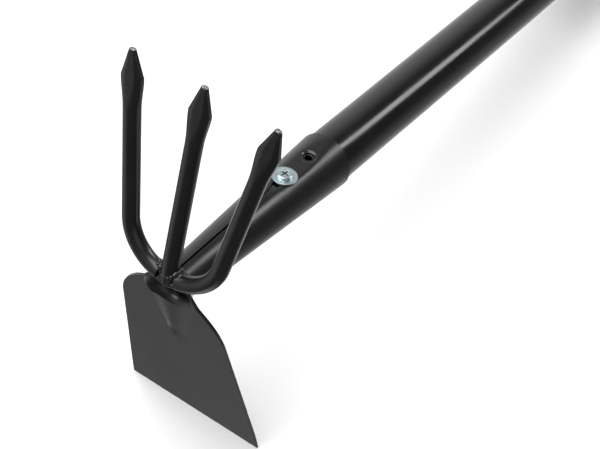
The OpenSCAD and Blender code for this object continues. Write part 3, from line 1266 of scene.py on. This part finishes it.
@dataclass(frozen=True)
class Handle:
    """Painted tube with a drawn end, a ribbed grip and a moulded end cap with a hanging hole."""

    layout: Layout
    grip_len: float = 118.0
    bead_w: float = 5.0
    groove_count: int = 9
    groove_w: float = 4.0
    groove_depth: float = 0.8
    plug_len: float = 18.0
    lead_in: float = 1.0
    lead_len: float = 2.0
    flange_t: float = 4.0
    tab_t: float = 7.0
    tab_w: float = 19.0
    tab_root: float = 1.0
    tab_square: float = 1.6
    tab_draw: float = 1.4
    hang_hole_d: float = 7.0
    tapped_d: float = 4.3
    pilot_d: float = 3.4
    sides: int = 96
    tab_sides: int = 48
    drawn_rings: int = 26
    straight_rings: int = 20
    hole_rings: int = 7
    hole_step: float = 0.4
    arc_steps: int = 6

    def build_tube(self, finish: Paint) -> None:
        """Makes the tube, pressed in under the socket's flat.

        Args:
            finish: Its paint.
        """
        lay = self.layout
        start = lay.socket_len - lay.tube_entry
        half = lay.hole_pitch / 2
        holes = ((lay.seat_x(half), self.tapped_d), (lay.seat_x(-half), self.pilot_d))
        drawn = even_places(start, lay.socket_len, self.drawn_rings)
        round_hole = [self.hole_step * i for i in range(-self.hole_rings, self.hole_rings + 1)]
        drawn = sorted(drawn + [x + step for x, _ in holes for step in round_hole])
        straight = even_places(lay.socket_len, lay.tube_end, self.straight_rings) + [lay.tube_end]
        outside = [(lay.bore_r(x) - lay.fit, x) for x in drawn] + [(lay.tube_d / 2, x) for x in straight]
        inside = [(r - lay.tube_wall, x) for r, x in reversed(outside)]
        bm = bmesh.new()
        turned(bm, outside + inside, self.sides, closed=True)
        bmesh.ops.transform(bm, matrix=along_handle(), verts=bm.verts)
        for v in bm.verts:
            if start <= v.co.x <= lay.socket_len and v.co.z > 0:
                wall = lay.bore_r(v.co.x) - lay.fit - math.hypot(v.co.y, v.co.z)
                v.co = lay.pressed(v.co, lay.socket_wall + lay.fit + wall)
        for x, d in holes:
            self.drill(bm, x, d / 2)
        piece = make_piece(bm, "handle_tube", lay.tool(), finish.material())
        round_edges(piece, width_mm=0.3, angle=50)

    def drill(self, bm: bmesh.types.BMesh, x: float, r: float) -> None:
        """Drills a round hole through the top of the tube's wall.

        Args:
            bm: The tube's mesh, round the handle's axis.
            x: Place of the hole along the handle.
            r: Its radius.
        """
        middle = Vector((x, 0, 0))
        inside = [
            f for f in bm.faces if (at := f.calc_center_median()).z > 0 and (at.xy - middle.xy).length < r
        ]
        bmesh.ops.delete(bm, geom=inside, context="FACES")
        rim = [e for e in bm.edges if e.is_boundary]
        for v in {v for e in rim for v in e.verts}:
            v.co.xy = middle.xy + (v.co.xy - middle.xy).normalized() * r
        bmesh.ops.bridge_loops(bm, edges=rim)
        bmesh.ops.recalc_face_normals(bm, faces=bm.faces)

    def grip_profile(self) -> list[tuple[float, float]]:
        """Draws the grip's profile from its front bead to its end.

        Returns:
            Places of the profile as radius and place along the handle.
        """
        lay = self.layout
        start, end, r = lay.tube_end - self.grip_len, lay.tube_end, lay.grip_r
        bore = lay.tube_d / 2 + lay.fit
        pitch = (self.grip_len - 2 * self.bead_w) / (self.groove_count + 1)
        steps = self.arc_steps

        def bead(x: float) -> list[tuple[float, float]]:
            """Rounded bead that starts at x."""
            return [
                (r + lay.grip_bead * math.sin(math.pi * i / steps) ** 0.5, x + self.bead_w * i / steps)
                for i in range(steps + 1)
            ]

        profile = [(bore, start)] + bead(start)
        for n in range(1, self.groove_count + 1):
            x = start + self.bead_w + n * pitch
            profile += [
                (r - self.groove_depth * math.sin(math.pi * i / steps), x + self.groove_w * (i / steps - 0.5))
                for i in range(steps + 1)
            ]
        return profile + bead(end - self.bead_w) + [(bore, end)]

    def build_grip(self, finish: Moulding) -> None:
        """Makes the grip sleeve.

        Args:
            finish: Its rubber.
        """
        bm = bmesh.new()
        turned(bm, self.grip_profile(), self.sides, closed=True)
        bmesh.ops.transform(bm, matrix=along_handle(), verts=bm.verts)
        piece = make_piece(bm, "grip_sleeve", self.layout.tool(), finish.material(), crease=60)
        round_edges(piece, width_mm=0.4, angle=40)

    def build_cap(self, finish: Moulding) -> None:
        """Makes the end cap: a plug and flange, with a tab that has the hanging hole.

        Args:
            finish: Its plastic.
        """
        lay = self.layout
        end = lay.tube_end
        plug_r = lay.tube_d / 2 - lay.tube_wall - lay.fit
        flange_r = lay.grip_r - lay.grip_bead
        profile = [
            (0, end - self.plug_len),
            (plug_r - self.lead_in, end - self.plug_len),
            (plug_r, end - self.plug_len + self.lead_len),
            (plug_r, end),
            (flange_r, end),
            (flange_r, end + self.flange_t / 2),
            (flange_r - self.flange_t / 2, end + self.flange_t),
            (0, end + self.flange_t),
        ]
        bm = bmesh.new()
        turned(bm, profile, self.sides, closed=False)
        bmesh.ops.transform(bm, matrix=along_handle(), verts=bm.verts)
        self.add_tab(bm, end + lay.cap_reach - self.tab_w / 2)
        piece = make_piece(bm, "end_cap", lay.tool(), finish.material(), crease=35)
        round_edges(piece, width_mm=0.6, angle=35, segments=3)

    def add_tab(self, bm: bmesh.types.BMesh, hole_x: float) -> None:
        """Adds the hanging tab: a ring round the hole whose near half is drawn out to the flange.

        Args:
            bm: The cap's mesh.
            hole_x: Place of the hole along the handle.
        """
        half = self.tab_w / 2
        root_x = self.layout.tube_end + self.tab_root - hole_x
        hole = bmesh.ops.create_circle(bm, segments=self.tab_sides, radius=self.hang_hole_d / 2)["verts"]
        rim = bmesh.ops.create_circle(bm, segments=self.tab_sides, radius=half)["verts"]
        for v in rim:
            if v.co.x < 0:
                v.co.y = math.copysign(min(half, abs(v.co.y) * self.tab_square), v.co.y)
                v.co.x = max(root_x, v.co.x * self.tab_draw)
        loops = [e for e in bm.edges if all(v in hole for v in e.verts) or all(v in rim for v in e.verts)]
        faces = bmesh.ops.bridge_loops(bm, edges=loops)["faces"]
        deep = bmesh.ops.extrude_face_region(bm, geom=faces)["geom"]
        lifted = [g for g in deep if isinstance(g, bmesh.types.BMVert)]
        bmesh.ops.translate(bm, vec=(0, 0, self.tab_t), verts=lifted)
        tab = list(set(hole + rim + lifted))
        lay_flat = Matrix.Translation((hole_x, self.tab_t / 2, 0)) @ Matrix.Rotation(math.pi / 2, 4, "X")
        bmesh.ops.transform(bm, matrix=lay_flat, verts=tab)
        bmesh.ops.recalc_face_normals(bm, faces=bm.faces)

    def build(self, tube: Paint, grip: Moulding, cap: Moulding) -> None:
        """Makes the handle's pieces.

        Args:
            tube: Paint of the tube.
            grip: Rubber of the grip.
            cap: Plastic of the end cap.
        """
        self.build_tube(tube)
        self.build_grip(grip)
        self.build_cap(cap)


@dataclass(frozen=True)
class Fixing:
    """Cross-recess pan-headed tapping screw and its washer."""

    screw_d: float = 4.2
    screw_len: float = 16.0
    core_d: float = 3.0
    pitch: float = 1.4
    ridge: tuple[float, float, float] = (0.45, 0.7, 0.95)
    point_d: float = 0.2
    head_d: float = 7.0
    head_h: float = 1.45
    rim_share: float = 0.78
    dome_power: int = 10
    washer_d: float = 11.6
    washer_t: float = 0.9
    washer_fit: float = 0.08
    seat_gap: float = 0.08
    recess_w: float = 4.4
    recess_t: float = 0.8
    recess_depth: float = 1.0
    recess_taper: float = 0.72
    # Share of the painted shade on the recess floor
    recess_shade_share: float = 0.85
    stop_angle: float = -6.0
    head_cells: int = 30
    turn_steps: int = 20
    point_sides: int = 24
    washer_sides: int = 64

    def seat(self) -> Matrix:
        """Stands the screw in its joint, with the washer's seat at its origin.

        Returns:
            From the screw's axes in millimetres to the frame.
        """
        turn = next(j for j in frame["joints"] if j["name"] == "screw_turn")
        stand = Vector(turn["axis"]).to_track_quat("Z", "Y").to_matrix().to_4x4()
        return Matrix.Translation(Vector(turn["pos_m"])) @ stand @ Matrix.Scale(MM, 4)

    def add_head(self, bm: bmesh.types.BMesh) -> None:
        """Adds the pan head: a grid pulled into a dome, with the cross pushed into it.

        Args:
            bm: The screw's mesh.
        """
        recess_shade = bm.verts.layers.float.new("recess_shade")
        cells, rim_h = self.head_cells, self.head_h * self.rim_share
        grid = bmesh.ops.create_grid(bm, x_segments=cells, y_segments=cells, size=1)["verts"]
        half_t, half_w = self.recess_t / self.head_d, self.recess_w / self.head_d
        cross = []
        for f in bm.faces:
            near, far = sorted(abs(place) for place in f.calc_center_median().xy)
            if near < half_t and far < half_w:
                cross.append(f)
        rim = [e for e in bm.edges if e.is_boundary]
        skirt = bmesh.ops.extrude_edge_only(bm, edges=rim)["geom"]
        skirt_verts = [g for g in skirt if isinstance(g, bmesh.types.BMVert)]
        for v in grid + skirt_verts:
            x, y = v.co.x, v.co.y
            disc = Vector((x * math.sqrt(1 - y * y / 2), y * math.sqrt(1 - x * x / 2), 0))
            v.co = disc * self.head_d / 2
            v.co.z = rim_h + (self.head_h - rim_h) * math.sqrt(max(0.0, 1 - disc.length**self.dome_power))
        for v in skirt_verts:
            v.co.z = 0
        sunk = bmesh.ops.extrude_face_region(bm, geom=cross)["geom"]
        floor = [g for g in sunk if isinstance(g, bmesh.types.BMVert)]
        bmesh.ops.delete(bm, geom=cross, context="FACES")
        for v in floor:
            v.co = Vector((*(v.co.xy * self.recess_taper), v.co.z - self.recess_depth))
            # Painted shade: the recess floor is darkened
            v[recess_shade] = self.recess_shade_share

    def add_thread(self, bm: bmesh.types.BMesh) -> None:
        """Adds the threaded shank and its point: one ridge spun down the shank.

        Args:
            bm: The screw's mesh.
        """
        turns = int((self.screw_len - self.screw_d) / self.pitch)
        core, crest = self.core_d / 2, self.screw_d / 2
        start, peak, end = self.ridge
        profile = [(core, 0.0), (core, -start), (crest, -peak), (core, -end), (core, -self.pitch)]
        verts = [bm.verts.new((r, 0, z)) for r, z in profile]
        edges = [bm.edges.new(pair) for pair in zip(verts, verts[1:])]
        bmesh.ops.spin(
            bm,
            geom=verts + edges,
            cent=(0, 0, 0),
            axis=(0, 0, 1),
            dvec=(0, 0, -self.pitch / self.turn_steps),
            angle=2 * math.pi * turns,
            steps=self.turn_steps * turns,
        )
        bottom = -(turns + 1) * self.pitch
        bmesh.ops.create_cone(
            bm,
            cap_ends=True,
            segments=self.point_sides,
            radius1=self.point_d / 2,
            radius2=core,
            depth=self.screw_len + bottom + self.pitch,
            matrix=Matrix.Translation((0, 0, (bottom + self.pitch - self.screw_len) / 2)),
        )
        bmesh.ops.remove_doubles(bm, verts=bm.verts, dist=0.004)

    def build(self, finish: Zinc) -> None:
        """Makes the screw and its washer.

        Args:
            finish: Their plating.
        """
        material = finish.material()
        bm = bmesh.new()
        self.add_head(bm)
        self.add_thread(bm)
        bmesh.ops.recalc_face_normals(bm, faces=bm.faces)
        low, high = self.seat_gap, self.seat_gap + self.washer_t
        turn = Matrix.Rotation(math.radians(self.stop_angle), 4, "Z")
        place = self.seat() @ (Matrix.Translation((0, 0, high)) @ turn)
        screw = make_piece(bm, "fixing_screw", place, material, Body.SCREW, crease=35)
        round_edges(screw, width_mm=0.12, angle=40)
        bm = bmesh.new()
        inner, outer = self.screw_d / 2 + self.washer_fit, self.washer_d / 2
        profile = [(inner, low), (outer, low), (outer, high), (inner, high)]
        turned(bm, profile, self.washer_sides, closed=True)
        washer = make_piece(bm, "screw_washer", self.seat(), material, Body.WASHER)
        round_edges(washer, width_mm=0.18, angle=50, segments=3)


@dataclass(frozen=True)
class Lamp:
    """A soft box: where it stands, how large it is and how bright."""

    name: str
    azimuth: float
    elevation: float
    distance: float
    width: float
    height: float
    power: float

    def build(self, aim: Vector) -> None:
        """Hangs the lamp and turns it to the tool.

        Args:
            aim: Point that it faces.
        """
        light = bpy.data.lights.new(self.name, "AREA")
        light.shape = "RECTANGLE"
        light.size, light.size_y = self.width, self.height
        light.energy = self.power
        lamp = bpy.data.objects.new(self.name, light)
        away = direction(self.azimuth, self.elevation)
        lamp.location = aim + away * self.distance
        lamp.rotation_euler = away.to_track_quat("Z", "Y").to_euler()
        bpy.context.scene.collection.objects.link(lamp)


@dataclass(frozen=True)
class Glow:
    """A soft bright stretch of the studio's walls: where it is, how far it reaches and how bright it is."""

    azimuth: float
    elevation: float
    inner: float
    outer: float
    strength: float

    def build(self, tree: bpy.types.NodeTree, towards: bpy.types.NodeSocket) -> bpy.types.NodeSocket:
        """Adds the glow to the studio.

        Args:
            tree: The studio's node tree.
            towards: Direction that is looked in.

        Returns:
            Its brightness.
        """
        middle = direction(self.azimuth, self.elevation)
        near = shader_node(tree, "ShaderNodeVectorMath", {0: towards, 1: middle}, operation="DOT_PRODUCT")
        fade = shader_node(
            tree,
            "ShaderNodeMapRange",
            {
                "Value": near.outputs["Value"],
                "From Min": math.cos(math.radians(self.outer)),
                "From Max": math.cos(math.radians(self.inner)),
                "To Max": self.strength,
            },
            interpolation_type="SMOOTHSTEP",
        )
        return fade.outputs["Result"]


@dataclass(frozen=True)
class Studio:
    """Pale floor, soft boxes and the camera."""

    layout: Layout
    floor_half: float = 4.0
    floor_drop: float = 0.0002
    floor_cells: int = 8
    floor_colour: str = "F4F4F4"
    floor_roughness: float = 0.9
    lens: float = 120.0
    sensor: float = 36.0
    eye: tuple[float, float, float] = (-0.59254, -0.31546, 0.75586)
    forward: tuple[float, float, float] = (0.51438, 0.35152, -0.78221)
    down: tuple[float, float, float] = (-0.62497, -0.47092, -0.62261)
    lamps: tuple[Lamp, ...] = (
        Lamp("top_box", azimuth=120.0, elevation=72.0, distance=1.4, width=1.6, height=1.6, power=36.0),
        Lamp("strip_box", azimuth=-24.0, elevation=24.0, distance=1.2, width=0.2, height=0.5, power=2.2),
        Lamp("flank_box", azimuth=-28.0, elevation=41.0, distance=1.2, width=0.46, height=0.16, power=2.0),
    )
    lit_place: tuple[float, float, float] = (40.0, 0.0, 20.0)
    walls: float = 0.12
    paper_light: float = 0.9
    glows: tuple[Glow, ...] = (
        Glow(azimuth=42.0, elevation=-8.0, inner=22.0, outer=62.0, strength=0.85),
        Glow(azimuth=125.0, elevation=-20.0, inner=10.0, outer=40.0, strength=0.5),
        Glow(azimuth=-15.0, elevation=-38.0, inner=10.0, outer=45.0, strength=0.4),
        Glow(azimuth=-80.0, elevation=-24.0, inner=4.0, outer=16.0, strength=1.1),
        Glow(azimuth=188.0, elevation=-70.0, inner=4.0, outer=20.0, strength=1.3),
        Glow(azimuth=34.0, elevation=-50.0, inner=4.0, outer=24.0, strength=0.6),
        Glow(azimuth=127.0, elevation=-64.0, inner=6.0, outer=30.0, strength=0.2),
        Glow(azimuth=155.0, elevation=32.0, inner=14.0, outer=44.0, strength=0.6),
        Glow(azimuth=238.0, elevation=28.0, inner=10.0, outer=32.0, strength=0.55),
        Glow(azimuth=5.0, elevation=-60.0, inner=8.0, outer=34.0, strength=0.3),
    )

    def build_floor(self) -> None:
        """Lays the floor."""
        bm = bmesh.new()
        cells = self.floor_cells
        bmesh.ops.create_grid(bm, x_segments=cells, y_segments=cells, size=self.floor_half)
        bmesh.ops.translate(bm, vec=(0, 0, -self.floor_drop), verts=bm.verts)
        mesh = bpy.data.meshes.new("floor")
        bm.to_mesh(mesh)
        bm.free()
        paper, tree = new_material("matt_white_paper")
        surface = shader_node(
            tree,
            "ShaderNodeBsdfPrincipled",
            {"Base Color": linear(self.floor_colour), "Roughness": self.floor_roughness},
        )
        shader_node(tree, "ShaderNodeOutputMaterial", {"Surface": surface.outputs["BSDF"]})
        mesh.materials.append(paper)
        floor = bpy.data.objects.new("floor", mesh)
        # The paint mirrors the studio's walls, which fall off to dark on the camera's side
        floor.visible_glossy = False
        bpy.context.scene.collection.objects.link(floor)

    def build_camera(self) -> None:
        """Sets the camera at the photograph's place."""
        data = bpy.data.cameras.new("camera")
        data.lens, data.sensor_width = self.lens, self.sensor
        data.clip_start, data.clip_end = 0.05, 20.0
        camera = bpy.data.objects.new("camera", data)
        back, up = -Vector(self.forward).normalized(), -Vector(self.down).normalized()
        right = up.cross(back).normalized()
        camera.matrix_world = Matrix.LocRotScale(
            Vector(self.eye), Matrix((right, back.cross(right), back)).transposed(), None
        )
        bpy.context.scene.collection.objects.link(camera)
        bpy.context.scene.camera = camera

    def build(self) -> None:
        """Sets the stage."""
        self.build_floor()
        self.build_camera()
        aim = self.layout.tool() @ Vector(self.lit_place)
        for lamp in self.lamps:
            lamp.build(aim)
        self.build_walls()
        bpy.context.scene.view_settings.view_transform = "Standard"

    def build_walls(self) -> None:
        """Sets the studio's walls: dim, with soft bright stretches, and pale where the camera sees them."""
        world = bpy.data.worlds.new("studio")
        world.use_nodes = True
        tree = world.node_tree
        tree.nodes.clear()
        towards = shader_node(tree, "ShaderNodeTexCoord").outputs["Generated"]
        light: bpy.types.NodeSocket | float = self.walls
        for glow in self.glows:
            bright = glow.build(tree, towards)
            summed = shader_node(tree, "ShaderNodeMath", {0: light, 1: bright}, operation="ADD")
            light = summed.outputs["Value"]
        seen = shader_node(tree, "ShaderNodeLightPath").outputs["Is Camera Ray"]
        strength = shader_node(
            tree, "ShaderNodeMix", {0: seen, 2: light, 3: self.paper_light}, data_type="FLOAT"
        )
        ground = shader_node(
            tree, "ShaderNodeBackground", {"Color": linear("FFFFFF"), "Strength": strength.outputs[0]}
        )
        shader_node(tree, "ShaderNodeOutputWorld", {"Surface": ground.outputs["Background"]})
        bpy.context.scene.world = world


def main() -> None:
    """Builds the tool and its stage."""
    logging.basicConfig(level=logging.INFO, format="%(message)s")
    layout, finishes = Layout(), Finishes()
    HoeHead(layout).build(finishes.blade)
    Claw(layout).build(finishes.rod)
    Handle(layout).build(finishes.tube, finishes.grip, finishes.cap)
    Fixing().build(finishes.zinc)
    Studio(layout).build()


if __name__ == "__main__":
    main()
